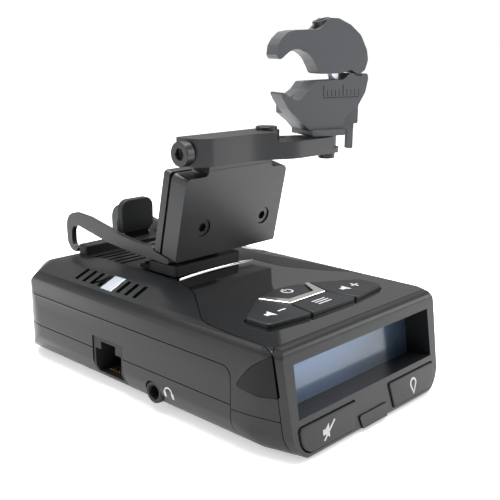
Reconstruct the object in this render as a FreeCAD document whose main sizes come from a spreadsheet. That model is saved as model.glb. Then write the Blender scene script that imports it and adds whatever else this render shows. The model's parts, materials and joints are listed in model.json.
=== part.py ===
import FreeCAD, Part
import math
import os
import re

# Dash-top radar detector with its slide-in spring bracket, two-plate clamp, tilting arm and
# swivelling mirror-stem jaws.  Units are millimetres.  +X is right as the display is seen,
# -Y is the display end, +Z is up, and the origin is the middle of the detector's flat base.

V = FreeCAD.Vector
doc = FreeCAD.newDocument("radar_detector")
sheet = doc.addObject("Spreadsheet::Sheet", "Sizes")

# name, size, what it measures
SIZES = [
    ("body_len", 115.0, "detector, display face to rear"),
    ("body_wid", 70.0, "detector across its sides"),
    ("body_hgt", 31.5, "detector at its crown"),
    ("wall", 1.8, "moulded wall of the cases"),
    ("seam", 0.2, "gap between neighbouring mouldings"),
    ("fit", 0.3, "clearance round a moving piece"),
    ("part_z", 11.5, "parting line above the base"),
    ("lean", 8.5, "display face leans back, degrees"),
    ("crown_y", 12.0, "where the roof reaches its crown"),
    ("bilge", 8.0, "curve under the sides, across"),
    ("bilge_rise", 11.0, "curve under the sides, up"),
    ("cheek", 5.5, "sides draw in toward the display"),
    ("band_z", 21.0, "line between side band and top cover"),
    ("deck_z", 28.3, "height of the deck at the display end"),
    ("deck_skin", 1.6, "thickness of the glossy deck"),
    ("cowl_len", 18.0, "front cowl, along the side"),
    ("bezel_dep", 2.4, "front bezel plate"),
    ("arc_y", 1.0, "ends of the bright arc behind the deck"),
    ("arc_half", 15.9, "half the width of the arc"),
    ("arc_bow", 2.4, "rise of the arc"),
    ("arc_wid", 1.0, "width of the arc trim"),
    ("window_wid", 57.4, "display opening"),
    ("window_low", 10.8, "lower edge of the display opening"),
    ("window_top", 24.3, "upper edge of the display opening"),
    ("window_dep", 9.0, "display opening, face to lens"),
    ("lens_thk", 1.2, "display lens"),
    ("key_low", 2.0, "front keys, lower edge"),
    ("key_top", 8.9, "front keys, upper edge"),
    ("key_in", 7.3, "front keys, inner end from the centre"),
    ("key_out", 29.3, "front keys, outer end from the centre"),
    ("key_proud", 0.5, "front keys stand out of the bezel"),
    ("key_thk", 3.2, "front keys, front to back"),
    ("pad_y", -34.5, "line between the power and menu keys"),
    ("pad_half", 24.2, "half the width of the deck keypad"),
    ("pad_dep", 8.9, "depth of the menu key"),
    ("pad_top", 29.7, "top of the deck keys"),
    ("pad_low", 25.1, "underside of the deck keys"),
    ("pad_gap", 0.5, "gap between two deck keys"),
    ("chevron_wid", 2.0, "bright trim round the power key"),
    ("jack_y", 9.1, "modular socket, centre along the side"),
    ("jack_z", 9.3, "modular socket, centre height"),
    ("jack_wid", 13.4, "modular socket, along the side"),
    ("jack_hgt", 11.6, "modular socket, height"),
    ("jack_dep", 14.0, "modular socket, depth"),
    ("audio_y", -10.2, "audio socket, along the side"),
    ("audio_z", 5.6, "audio socket, height"),
    ("audio_bore", 3.5, "audio plug diameter"),
    ("slot_half", 13.9, "half the width of the roof channel"),
    ("slot_mid", -2.8, "centre of the roof channel"),
    ("slot_z", 29.9, "floor of the roof channel"),
    ("slot_end", 40.0, "rear end of the roof channel"),
    ("latch_y", 46.2, "release key, along the body"),
    ("latch_wid", 26.0, "release key, across"),
    ("latch_dep", 4.4, "release key, front to back"),
    ("latch_top", 33.0, "top of the release key"),
    ("shoe_wid", 26.4, "bracket shoe, across"),
    ("shoe_front", 1.1, "front face of the bracket shoe"),
    ("shoe_len", 12.0, "bracket shoe block, front to back"),
    ("shoe_z", 31.2, "underside of the bracket shoe block"),
    ("shoe_top", 34.2, "top of the bracket shoe"),
    ("rail_thk", 1.8, "side rail of the spring bracket"),
    ("rail_out", 20.0, "spring bracket, across its rails"),
    ("rail_mid", -6.0, "centre between the rails"),
    ("web_thk", 1.1, "web of the spring bracket"),
    ("foot_z", 30.2, "tips of the rail hooks"),
    ("plate_mid", 4.7, "centre of the clamp plates"),
    ("plate_wid", 41.6, "clamp plates, across"),
    ("plate_z", 35.4, "lower front edge of the front plate"),
    ("plate_tilt", 12.2, "clamp plates lean forward, degrees"),
    ("plate_hgt", 25.0, "clamp plates at their shoulders"),
    ("plate_thk", 6.0, "front plate"),
    ("back_thk", 2.5, "back plate"),
    ("tongue_thk", 0.9, "bracket tongue between the plates"),
    ("lug_mid", 5.2, "centre of the hinge lug"),
    ("lug_wid", 26.0, "hinge lug, across"),
    ("lug_r", 2.9, "hinge lug, round its screw"),
    ("hinge_v", 31.5, "hinge axis, up the plates"),
    ("hinge_n", 3.0, "hinge axis, behind the front plate's face"),
    ("tilt_r", 1.5, "tilt screw shank"),
    ("arm_end", -14.5, "left end of the arm"),
    ("arm_low", 63.1, "underside of the arm"),
    ("arm_hgt", 7.8, "arm, height"),
    ("arm_front", -8.0, "front face of the arm over the plates"),
    ("arm_back", 2.3, "rear face of the arm over the plates"),
    ("arm_skin", 0.8, "arm above the hinge pocket"),
    ("pivot_x", 37.6, "swivel axis, across"),
    ("pivot_y", -9.8, "swivel axis, along"),
    ("ring_r", 3.7, "arm round the swivel"),
    ("step_z", 68.1, "top of the arm at the swivel"),
    ("lip_thk", 1.7, "lip under the swivel"),
    ("barrel_r", 2.9, "swivel barrel"),
    ("jaw_yaw", -19.0, "jaws turned about the swivel, degrees"),
    ("jaw_in", 2.1, "jaws stand left of the swivel axis"),
    ("jaw_aft", 2.8, "jaws stand behind the swivel axis"),
    ("jaw_dep", 12.2, "jaws, front to back at the boss"),
    ("jaw_thk", 6.4, "jaws, front to back at the mouth"),
    ("flange_thk", 1.9, "flange under the lower jaw"),
    ("mouth_r", 6.6, "mirror stem radius at the jaws' grip"),
    ("mouth_u", -10.9, "mouth centre from the swivel axis"),
    ("mouth_z", 87.3, "mouth centre height"),
    ("clamp_r", 1.5, "jaw screw shank"),
    ("clamp_tilt", 17.0, "jaw screw leans over the mouth, degrees"),
]

for row, (name, value, note) in enumerate(SIZES, start=1):
    sheet.set(f"A{row}", name)
    sheet.set(f"B{row}", str(value))
    sheet.setAlias(f"B{row}", name)
    sheet.set(f"C{row}", note)
doc.recompute()
S = {name: float(sheet.get(name)) for name, value, note in SIZES}
HALF = S["body_wid"] / 2
END = S["body_len"] / 2
LEAN = math.tan(math.radians(S["lean"]))


# ---- drawing and feature helpers ------------------------------------------------------------

def bind(obj, prop, expression):
    """Bind a property to an expression in which sheet names stand for their cells."""
    words = re.sub(r"[a-z_][a-z_0-9]*", lambda m: "Sizes." + m[0] if m[0] in S else m[0], expression)
    obj.setExpression(prop, words)


def rounded(points):
    """Closed outline through (x, y) or (x, y, corner radius) points, as lines and tangent arcs."""
    corners = []
    for i, point in enumerate(points):
        at = V(point[0], point[1], 0)
        radius = point[2] if len(point) > 2 else 0
        if radius == 0:
            corners.append((at, None, at))
            continue
        before = V(*points[i - 1][:2], 0)
        after = V(*points[(i + 1) % len(points)][:2], 0)
        a = (before - at).normalize()
        b = (after - at).normalize()
        half = a.getAngle(b) / 2
        run = radius / math.tan(half)
        centre = at + (a + b).normalize() * (radius / math.sin(half))
        corners.append((at + a * run, centre + (at - centre).normalize() * radius, at + b * run))
    curves = []
    for i, (start, middle, end) in enumerate(corners):
        if middle is not None:
            curves.append(Part.Arc(start, middle, end))
        following = corners[(i + 1) % len(corners)][0]
        if (following - end).Length > 1e-6:
            curves.append(Part.LineSegment(end, following))
    return curves


def ring(x, y, radius):
    return [Part.Circle(V(x, y, 0), V(0, 0, 1), radius)]


def mirrored(points):
    """A half outline given from the centre line outwards, completed on the other side of x = 0."""
    return points + [(-p[0],) + tuple(p[1:]) for p in reversed(points)]


def new_body(label, x="0", y="0", z="0", turn=None):
    body = doc.addObject("PartDesign::Body", label)
    body.Label = label
    if turn:
        body.Placement = FreeCAD.Placement(V(), FreeCAD.Rotation(turn[0], turn[1]))
    for axis, expression in zip("xyz", (x, y, z)):
        bind(body, "Placement.Base." + axis, expression)
    return body


def extrude(body, plane, start, length, curves, cut=False):
    """Pad or pocket an outline from start, along +Z, +Y or +X for the XY, XZ or YZ plane."""
    role = plane + "_Plane"
    support = next(f for f in body.Origin.OriginFeatures if f.Role == role)
    sketch = body.newObject("Sketcher::SketchObject", body.Label + "_sketch")
    sketch.AttachmentSupport = [(support, "")]
    sketch.MapMode = "FlatFace"
    flipped = plane == "XZ"
    bind(sketch, "AttachmentOffset.Base.z", f"-({start})" if flipped else start)
    sketch.addGeometry(curves, False)
    kind = "PartDesign::Pocket" if cut else "PartDesign::Pad"
    feature = body.newObject(kind, body.Label + ("_pocket" if cut else "_pad"))
    feature.Profile = sketch
    feature.Reversed = flipped != cut
    bind(feature, "Length", length)
    sketch.Visibility = False
    return feature


def round_edges(body, radius, wanted):
    """Fillet the edges of a body's newest feature that the test picks."""
    doc.recompute()
    base = body.Tip
    names = [f"Edge{i}" for i, edge in enumerate(base.Shape.Edges, start=1) if wanted(edge)]
    fillet = body.newObject("PartDesign::Fillet", body.Label + "_fillet")
    fillet.Base = (base, names)
    fillet.Radius = radius
    return fillet


def along(edge, axis):
    """True for a straight edge that runs along an axis."""
    if not isinstance(edge.Curve, Part.Line):
        return False
    return abs(abs(edge.Curve.Direction.dot(axis)) - 1) < 1e-6


def box(label, x, y, z):
    """Part::Box between pairs of expressions."""
    made = doc.addObject("Part::Box", label)
    made.Label = label
    for prop, axis, (low, high) in zip(("Length", "Width", "Height"), "xyz", (x, y, z)):
        bind(made, prop, f"({high})-({low})")
        bind(made, "Placement.Base." + axis, low)
    return made


def rod(label, radius, length, at, axis):
    """Part::Cylinder from a point given by expressions, along an axis."""
    made = doc.addObject("Part::Cylinder", label)
    made.Label = label
    made.Placement = FreeCAD.Placement(V(), FreeCAD.Rotation(V(0, 0, 1), axis))
    bind(made, "Radius", radius)
    bind(made, "Height", length)
    for name, expression in zip("xyz", at):
        bind(made, "Placement.Base." + name, expression)
    return made


def fused(label, pieces):
    made = doc.addObject("Part::MultiFuse", label)
    made.Label = label
    made.Shapes = pieces
    return made


def minus(label, base, tool):
    made = doc.addObject("Part::Cut", label)
    made.Label = label
    made.Base = base
    made.Tool = tool
    return made


def trimmed(label, base, form):
    """A piece cut off flush with the outside of the detector."""
    made = doc.addObject("Part::MultiCommon", label)
    made.Label = label
    made.Shapes = [base, form]
    return made


def grouped(label, pieces):
    """Several separate solids of one kind in one node."""
    made = doc.addObject("Part::Compound", label)
    made.Label = label
    made.Links = pieces
    return made


def shaped(label, shape):
    """Part::Feature for a moulding that is cut out of the detector's outer form."""
    made = doc.addObject("Part::Feature", label)
    made.Label = label
    solids = [solid.copy() for solid in shape.removeSplitter().Solids]
    made.Shape = solids[0] if len(solids) == 1 else Part.makeCompound(solids)
    return made


def face_of(curves, place=None):
    face = Part.Face(Part.Wire([curve.toShape() for curve in curves]))
    if place:
        face.Placement = place
    return face


def prism_up(curves, low, high):
    face = face_of(curves, FreeCAD.Placement(V(0, 0, low), FreeCAD.Rotation()))
    return face.extrude(V(0, 0, high - low))


def block(x, y, z):
    return Part.makeBox(x[1] - x[0], y[1] - y[0], z[1] - z[0], V(x[0], y[0], z[0]))


# ---- the detector's outer form --------------------------------------------------------------

UPRIGHT_XZ = FreeCAD.Rotation(V(1, 0, 0), 90)
SIDE_YZ = FreeCAD.Rotation(V(1, 1, 1), 120)
FAR = 200.0


def cross_section():
    """Barrel-sided section with a flat base, a shoulder facet each side and a crowned roof."""
    top = S["body_hgt"]
    base = HALF - S["bilge"]
    shoulder = (HALF - 1.7, top - 3.2)
    facet = (HALF - 11, top - 1.1)
    bilge = S["bilge_rise"]

    def side(k):
        return [
            Part.Arc(V(k * base, 0), V(k * (HALF - S["bilge"] * 0.25), bilge * 0.32), V(k * HALF, bilge)),
            Part.Arc(V(k * HALF, bilge), V(k * (HALF - 0.25), bilge + 9.5), V(k * shoulder[0], shoulder[1])),
            Part.LineSegment(V(k * shoulder[0], shoulder[1]), V(k * facet[0], facet[1])),
        ]

    roof = [Part.Arc(V(facet[0], facet[1]), V(0, top), V(-facet[0], facet[1]))]
    floor = [Part.LineSegment(V(-base, 0), V(base, 0))]
    return side(1) + roof + side(-1)[::-1] + floor


def plan_outline():
    nose = HALF - S["cheek"]
    right = [(nose, -END - 6), (HALF, -END + 14, 40), (HALF, END, 15)]
    return rounded(mirrored(right))


def side_outline():
    """Profile along the body: leaning display face, rising deck, level roof, rounded rear."""
    top = S["body_hgt"]
    deck = S["deck_z"]
    return rounded([
        (-END, 0, 1.5),
        (END, 0, 6),
        (END, top - 3, 9),
        (END / 2, top, 50),
        (S["crown_y"], top, 30),
        (S["crown_y"] - 32, deck + 0.5, 60),
        (-END + deck * LEAN, deck, 2.2),
    ])


def nose_form(inset):
    """Rounds the display end's corners and fades out behind the cowl."""
    nose = HALF - S["cheek"] + 0.05 - inset
    stations = [
        (-END - 6, nose, S["deck_z"] + 0.05, 8.0, 4.6),
        (-END + 14, nose + S["cheek"], S["deck_z"] + 2.6, 8.2, 4.8),
        (END + 30, nose + 30, S["deck_z"] + 40, 8.4, 5.0),
    ]
    wires = []
    for y, half, top, low_round, top_round in stations:
        face = face_of(rounded([(-half, inset - 0.02, low_round), (half, inset - 0.02, low_round),
                                (half, top - inset, top_round), (-half, top - inset, top_round)]),
                       FreeCAD.Placement(V(0, y, 0), UPRIGHT_XZ))
        wires.append(face.OuterWire)
    return Part.makeLoft(wires, True, True)


def tail_form(k, inset):
    """Rolls the roof over at one rear corner."""
    points = [(-FAR, -FAR), (59.7 - inset, -FAR), (59.7 - inset, 27 - inset, 11), (41, 33.4 - inset, 20), (-FAR, 33.4 - inset)]
    face = face_of(rounded(points), FreeCAD.Placement(V(0, 0, 0), SIDE_YZ))
    run = face.extrude(V(2 * FAR, 0, 0))
    run.translate(V(-FAR, 0, 0))
    run.rotate(V(), V(0, 0, 1), -45 * k)
    return run


def envelope(inset):
    """The outer form, shrunk by an inset on every face."""
    faces = [
        face_of(cross_section(), FreeCAD.Placement(V(0, FAR, 0), UPRIGHT_XZ)),
        face_of(plan_outline(), FreeCAD.Placement(V(0, 0, -FAR), FreeCAD.Rotation())),
        face_of(side_outline(), FreeCAD.Placement(V(-FAR, 0, 0), SIDE_YZ)),
    ]
    runs = [V(0, -2 * FAR, 0), V(0, 0, 2 * FAR), V(2 * FAR, 0, 0)]
    solids = []
    for face, run in zip(faces, runs):
        grown = face.makeOffset2D(-inset) if inset else face
        solids.append(grown.extrude(run))
    form = solids[0].common(solids[1]).common(solids[2])
    return form.common(nose_form(inset)).common(tail_form(1, inset)).common(tail_form(-1, inset))


OUTER = envelope(0)
INNER = envelope(S["wall"])
DECK_INNER = envelope(S["deck_skin"])
SHELL = OUTER.cut(INNER)
COWL_Y = -END + S["cowl_len"]
HALF_SEAM = S["seam"] / 2


def front_slab(near, far):
    """Everything between two planes parallel to the display face, measured inwards from it."""
    low, high = -20, 60
    points = [(-END + low * LEAN + near, low), (-END + low * LEAN + far, low),
              (-END + high * LEAN + far, high), (-END + high * LEAN + near, high)]
    face = face_of(rounded(points), FreeCAD.Placement(V(-FAR, 0, 0), SIDE_YZ))
    return face.extrude(V(2 * FAR, 0, 0))


def deck_outline(grow):
    """Plan of the glossy deck: bowed rear edge, then flaring forward to the shoulders."""
    half = S["arc_half"] + grow
    rear = S["arc_y"] + grow
    wide = HALF - 2.3 + grow
    flare = wide - 1.0
    right = rounded([(half, rear), (half + 2.4, rear - 10, 14), (flare, COWL_Y + 13, 9), (wide, COWL_Y + 3, 12),
                     (wide, -FAR), (0, -FAR), (0, rear)])[:-2]
    right = [curve.toShape() for curve in right]
    left = [edge.mirror(V(0, 0, 0), V(1, 0, 0)) for edge in right]
    bow = Part.Arc(V(-half, rear), V(0, rear + S["arc_bow"]), V(half, rear)).toShape()
    return Part.Wire(Part.__sortEdges__(right + left + [bow]))


def deck_prism(grow):
    face = Part.Face(deck_outline(grow))
    face.translate(V(0, 0, S["deck_z"] - 2.4))
    return face.extrude(V(0, 0, FAR))


# ---- deck keys -------------------------------------------------------------------------------

PAD_Y = S["pad_y"]
PAD_FRONT = PAD_Y - S["pad_dep"]
GAP = S["pad_gap"]


def power_outline(grow):
    rear = PAD_Y + 9.1 + grow
    front = PAD_Y + S["chevron_wid"] + 1.0 - grow
    half = 8.7 + grow
    nose = 4.9 + grow
    return [
        Part.Arc(V(-half, rear), V(0, rear + 2.3), V(half, rear)),
        Part.LineSegment(V(half, rear), V(nose, front)),
        Part.LineSegment(V(nose, front), V(-nose, front)),
        Part.LineSegment(V(-nose, front), V(-half, rear)),
    ]


def chevron_corner(grow):
    """Outer corner points of the bright chevron, front then rear."""
    return (7.6 + grow, PAD_Y + 0.2 - grow), (7.6 + S["chevron_wid"] + 1.0 + grow, PAD_Y + 8.8)


def chevron_outline():
    (front_x, front_y), (rear_x, rear_y) = chevron_corner(0)
    inner = GAP / 2 + 0.1
    nose = 4.9 + inner
    tail = 8.7 + inner
    return rounded([
        (-rear_x, rear_y), (-front_x, front_y), (front_x, front_y), (rear_x, rear_y),
        (tail, PAD_Y + 9.1), (nose, PAD_Y + S["chevron_wid"] + 1.0 - inner),
        (-nose, PAD_Y + S["chevron_wid"] + 1.0 - inner), (-tail, PAD_Y + 9.1),
    ])


def menu_outline():
    half = 7.5
    return rounded([(-half, PAD_Y - GAP / 2), (-half - 1.6, PAD_FRONT, 0.5),
                    (half + 1.6, PAD_FRONT, 0.5), (half, PAD_Y - GAP / 2)])


def volume_outline(k):
    (front_x, front_y), (rear_x, rear_y) = chevron_corner(GAP * 0.8)
    wide = S["pad_half"]
    return rounded([
        (k * rear_x, rear_y), (k * wide, PAD_Y + 0.4, 0.8), (k * (wide - 0.4), PAD_FRONT + 1.6, 1.2),
        (k * (9.1 + GAP), PAD_FRONT, 0.5), (k * front_x, front_y - 0.2),
    ])


def keypad_opening():
    (front_x, front_y), (rear_x, rear_y) = chevron_corner(GAP)
    wide = S["pad_half"] + S["fit"]
    rear = PAD_Y + 9.1
    side = [(rear_x - 0.6, rear + 0.3), (wide, PAD_Y + 0.7, 1.0), (wide - 0.4, PAD_FRONT + 1.3, 1.4),
            (9.1 + GAP, PAD_FRONT - S["fit"])]
    points = side + [(-p[0],) + tuple(p[1:]) for p in reversed(side)]
    curves = rounded(points)[:-1]
    start = V(*points[-1][:2], 0)
    end = V(*points[0][:2], 0)
    return curves + [Part.Arc(start, V(0, rear + 2.3 + S["fit"], 0), end)]


def deck_key(label, curves):
    key = new_body(label)
    extrude(key, "XY", "pad_low", "pad_top - pad_low", curves)
    top = S["pad_top"]
    round_edges(key, 0.45, lambda e: all(abs(v.Z - top) < 1e-6 for v in e.Vertexes))


def make_deck_keys():
    deck_key("power_button", power_outline(0))
    deck_key("menu_button", menu_outline())
    deck_key("volume_down_button", volume_outline(-1))
    deck_key("volume_up_button", volume_outline(1))
    trim = new_body("power_trim")
    extrude(trim, "XY", "pad_low", "pad_top - pad_low + 0.15", chevron_outline())


# ---- front keys ------------------------------------------------------------------------------

FACE_TURN = (V(1, 0, 0), -S["lean"])


def key_outline(k, grow):
    """Front key: square inner end that slants, round outer lower corner to follow the case."""
    low = S["key_low"] - grow
    top = S["key_top"] + grow
    inner = S["key_in"] - grow
    outer = S["key_out"] + grow
    return rounded([(k * (inner + 1.6), low, 0.6), (k * (outer - 0.6), low, 4.5),
                    (k * outer, top, 1.2), (k * inner, top, 0.6)])


def make_front_keys():
    for label, k in (("mute_button", -1), ("mark_button", 1)):
        key = new_body(label, y="-body_len/2", turn=FACE_TURN)
        extrude(key, "XZ", "-key_proud", "key_thk", key_outline(k, 0))
        front = -S["key_proud"]
        round_edges(key, 0.35, lambda e: all(abs(v.Y - front) < 1e-6 for v in e.Vertexes))


# ---- mouldings of the detector ---------------------------------------------------------------

BOSSES = [(-26, COWL_Y + 8), (26, COWL_Y + 8), (-24, END - 11), (24, END - 11)]
SCREW_R = 1.3
SPEAKER = (6.0, -16.0)
LENS_X = (-22.0, 22.0)
LENS_Z = (14.0, 23.5)
PLATE_X = (-17.0, 17.0)
PLATE_Y = (4.0, 30.0)
SLOT_X = (S["slot_mid"] - S["slot_half"], S["slot_mid"] + S["slot_half"])
LATCH_X = (S["slot_mid"] - S["latch_wid"] / 2, S["slot_mid"] + S["latch_wid"] / 2)
LATCH_Y = (S["latch_y"] - S["latch_dep"] / 2, S["latch_y"] + S["latch_dep"] / 2)


def grown(span, by):
    return (span[0] - by, span[1] + by)


def jack_hole():
    """Hole through the left side for the modular socket."""
    by = 0.15
    wide = grown((S["jack_y"] - S["jack_wid"] / 2, S["jack_y"] + S["jack_wid"] / 2), by)
    high = grown((S["jack_z"] - S["jack_hgt"] / 2, S["jack_z"] + S["jack_hgt"] / 2), by)
    return block((-FAR, -HALF + 6), wide, high)


def teardrop(grow):
    """Both smoked side windows, seen from the side, as a bar right across the body."""
    front = -END + S["key_top"] * LEAN
    points = [(front + 4.9 - grow, S["deck_z"] - 1.4 + grow, 0.6), (front + 3.1 - grow, 16.4 - grow, 0.8),
              (front + 8.5, 15.8 - grow, 6), (front + 15.2 + grow, 17.0, 0.8),
              (front + 11.0 + grow, 22.6 + grow, 9)]
    face = face_of(rounded(points), FreeCAD.Placement(V(-FAR, 0, 0), SIDE_YZ))
    return face.extrude(V(2 * FAR, 0, 0))


def side_skin(grow, depth):
    """The outer skin of the body inside both teardrops, to a depth."""
    form = OUTER.copy().common(teardrop(grow))
    pieces = []
    for k in (-1, 1):
        inner = OUTER.copy()
        inner.translate(V(-k * depth, 0, 0))
        half = block((20, FAR), (-FAR, FAR), (-FAR, FAR)) if k > 0 else block((-FAR, -20), (-FAR, FAR), (-FAR, FAR))
        pieces.append(form.common(half).cut(inner))
    return pieces[0].fuse(pieces[1])


def vent_slots():
    """Slanted slots in both shoulders, in a row ahead of and behind each plain badge."""
    slots = []
    for k in (-1, 1):
        for row in (-3, -2, -1, 1.4, 2.4, 3.4, 4.4):
            y = 13 + row * 3.6
            points = [(k * 25.2, y), (k * 31.4, y - 1.8), (k * 31.4, y - 0.3), (k * 25.2, y + 1.5)]
            slots.append(prism_up(rounded(points), 20, 40))
    return slots


def badge_prism(grow):
    bars = []
    for k in (-1, 1):
        points = [(k * (25.0 - grow), 12.4 - grow), (k * (32.0 + grow), 10.4 - grow),
                  (k * (32.0 + grow), 15.2 + grow), (k * (25.0 - grow), 17.2 + grow)]
        bars.append(prism_up(rounded(points), 20, 40))
    return bars[0].fuse(bars[1])


def lifted(shape, by):
    copy = shape.copy()
    copy.translate(V(0, 0, by))
    return copy


def boss_pillars(low, high, radius):
    return [Part.makeCylinder(radius, high - low, V(x, y, low)) for x, y in BOSSES]


def sound_holes():
    """Rings of small holes under the loudspeaker."""
    holes = []
    for ring_r, count in ((0.01, 1), (3.6, 6), (7.2, 12)):
        for i in range(count):
            angle = 2 * math.pi * i / count
            at = V(SPEAKER[0] + ring_r * math.cos(angle), SPEAKER[1] + ring_r * math.sin(angle), -1)
            holes.append(Part.makeCylinder(0.8, 6, at))
    return holes


def make_cases():
    low_part = S["part_z"] - HALF_SEAM
    high_part = S["part_z"] + HALF_SEAM
    behind = block((-FAR, FAR), (COWL_Y + HALF_SEAM, FAR), (-FAR, low_part))
    pillars = [p.common(OUTER.copy()) for p in boss_pillars(0, low_part, 3.4)]
    lower = SHELL.copy().common(behind).multiFuse(pillars)
    bores = boss_pillars(-1, 40, SCREW_R + 0.1) + boss_pillars(-1, 4.0, 2.6)
    audio = Part.makeCylinder(3.3, 12, V(-HALF - 2, S["audio_y"], S["audio_z"]), V(1, 0, 0))
    plate = block(grown(PLATE_X, 0.1), grown(PLATE_Y, 0.1), (-1, 0.35))
    shaped("lower_case", lower.cut(bores + sound_holes() + [audio, jack_hole(), plate]))

    band = SHELL.copy().common(side_region(-HALF_SEAM).common(block((-FAR, FAR), (-FAR, FAR), (high_part, FAR))))
    lens = block(grown(LENS_X, 0.1), (END - 8, END + 5), grown(LENS_Z, 0.1))
    shaped("upper_case", band.cut([jack_hole(), lens]))
    pillars = [p.common(OUTER.copy()) for p in boss_pillars(high_part, 40, 3.0)]
    tray = block(grown(SLOT_X, 1.4), (3.5 - 1.4, S["slot_end"] + 1.4), (S["slot_z"] - 2, 40)).common(OUTER.copy())
    well = block(grown(LATCH_X, 1.9), grown(LATCH_Y, 1.9), (24.6, 40)).common(OUTER.copy())
    for x, y in BOSSES[:2]:
        side = math.copysign(1, x)
        web = block(sorted((x, side * FAR)), (y - 1, y + 1), (S["band_z"] + 0.2, S["deck_z"] - 2.5))
        pillars.append(web.common(OUTER.copy()))
    bezel_back = S["bezel_dep"] / math.cos(math.radians(S["lean"]))
    seam = S["seam"] / math.cos(math.radians(S["lean"]))
    ahead = front_slab(bezel_back + seam, FAR)
    cover = SHELL.copy().common(ahead).cut(side_region(HALF_SEAM)).multiFuse(pillars + [tray, well])
    line = OUTER.copy().cut(envelope(0.35)).common(block((-FAR, FAR), (-FAR, COWL_Y), (10.4, 10.6)))
    cuts = [
        deck_prism(HALF_SEAM),
        block(SLOT_X, (3.5, S["slot_end"]), (S["slot_z"], 40)),
        block(grown(LATCH_X, S["fit"]), grown(LATCH_Y, S["fit"]), (26.0, 40)),
        lens,
        badge_prism(0.1).cut(lifted(OUTER, -0.75)),
        side_skin(0.1, 1.3),
        line,
    ]
    for k in (-1, 1):
        face = face_of(key_outline(k, S["fit"]), FreeCAD.Placement(V(0, -5, 0), UPRIGHT_XZ))
        cuts.append(leaned(face.extrude(V(0, 10, 0))))
    ribs = []
    for i in range(4):
        y = S["slot_end"] - 3 - 3 * i
        ribs.append(block(grown(SLOT_X, -2.0), (y, y + 1.2), (S["slot_z"] - 0.9, 40)))
    drills = boss_pillars(high_part - 1, 19, SCREW_R + 0.05)
    shaped("top_cover", cover.cut(cuts + vent_slots() + ribs + drills))
    shaped("side_windows", side_skin(0, 1.2).common(ahead))


def side_region(grow):
    """Where the lower case and the side band show: behind the cowl and under the top cover."""
    front = COWL_Y - grow
    points = [(front, -FAR), (FAR, -FAR), (FAR, S["band_z"] + grow), (front, S["band_z"] + grow, 3)]
    face = face_of(rounded(points), FreeCAD.Placement(V(-FAR, 0, 0), SIDE_YZ))
    return face.extrude(V(2 * FAR, 0, 0))


def make_deck():
    bezel_back = S["bezel_dep"] / math.cos(math.radians(S["lean"]))
    ahead = front_slab(bezel_back + S["seam"] / math.cos(math.radians(S["lean"])), FAR)
    deck = OUTER.copy().cut(DECK_INNER.copy()).common(deck_prism(-HALF_SEAM)).common(ahead)
    arc_cut = arc_prism(0.1).cut(lifted(OUTER, -0.9))
    deck = deck.cut([prism_up(keypad_opening(), 15, 45), arc_cut, side_skin(0.1, 1.3)])
    shaped("gloss_deck", deck)
    trim = lifted(OUTER, 0.35).cut(lifted(OUTER, -0.8)).common(arc_prism(0))
    shaped("arc_trim", trim)
    badge = lifted(OUTER, 0.25).cut(lifted(OUTER, -0.6)).common(badge_prism(0))
    shaped("vent_badges", badge)


def arc_prism(grow):
    """Crescent along the bowed rear edge of the deck, thin at both tips."""
    half = S["arc_half"] - 0.7 + grow
    rear = S["arc_y"] - 0.6
    bow = S["arc_bow"]
    outer = Part.Arc(V(-half, rear), V(0, rear + bow + grow), V(half, rear))
    inner = Part.Arc(V(-half, rear), V(0, rear + bow - S["arc_wid"] * 1.4 - grow), V(half, rear))
    return prism_up([outer, inner], 20, 45)


def leaned(shape):
    """Put a shape drawn against an upright display face onto the leaning one."""
    copy = shape.copy()
    copy.Placement = FreeCAD.Placement(V(0, -END, 0), FreeCAD.Rotation(*FACE_TURN)).multiply(copy.Placement)
    return copy


def make_bezel():
    half = S["window_wid"] / 2
    low = S["window_low"]
    top = S["window_top"]
    deep = S["window_dep"]
    plate = OUTER.copy().common(front_slab(-5, S["bezel_dep"] / math.cos(math.radians(S["lean"]))))
    tube = block(grown((-half, half), 1.2), (1.0, deep), grown((low, top), 1.2))
    opening = block((-half, half), (-5, deep + 1), (low, top))
    bezel = plate.fuse(leaned(tube)).cut(leaned(opening))
    keys = []
    for k in (-1, 1):
        face = face_of(key_outline(k, S["fit"]), FreeCAD.Placement(V(0, -5, 0), UPRIGHT_XZ))
        keys.append(leaned(face.extrude(V(0, 12, 0))))
    outline = rounded(mirrored([(5.2, S["key_low"] - 1.2), (6.4, S["key_low"] + 2.4, 0.6)]))
    face = face_of(outline, FreeCAD.Placement(V(0, -0.45, 0), UPRIGHT_XZ))
    tab = leaned(face.extrude(V(0, 1.5, 0)))
    hole = side_skin(0.1, 1.3)
    shaped("front_bezel", bezel.fuse(tab).cut(keys + [hole]))


# ---- pieces inside the detector and in its sockets --------------------------------------------

def make_display():
    lens = new_body("display_window", y="-body_len/2", turn=FACE_TURN)
    half = S["window_wid"] / 2 - 0.05
    outline = rounded([(-half, S["window_low"] + 0.05), (half, S["window_low"] + 0.05),
                       (half, S["window_top"] - 0.05), (-half, S["window_top"] - 0.05)])
    extrude(lens, "XZ", "window_dep - lens_thk - 0.1", "lens_thk", outline)
    panel = new_body("display_panel", y="-body_len/2", turn=FACE_TURN)
    outline = rounded([(-half - 1, S["window_low"] - 0.8), (half + 1, S["window_low"] - 0.8),
                       (half + 1, S["window_top"] + 0.8), (-half - 1, S["window_top"] + 0.8)])
    extrude(panel, "XZ", "window_dep + 0.1", "2.0", outline)


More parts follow.
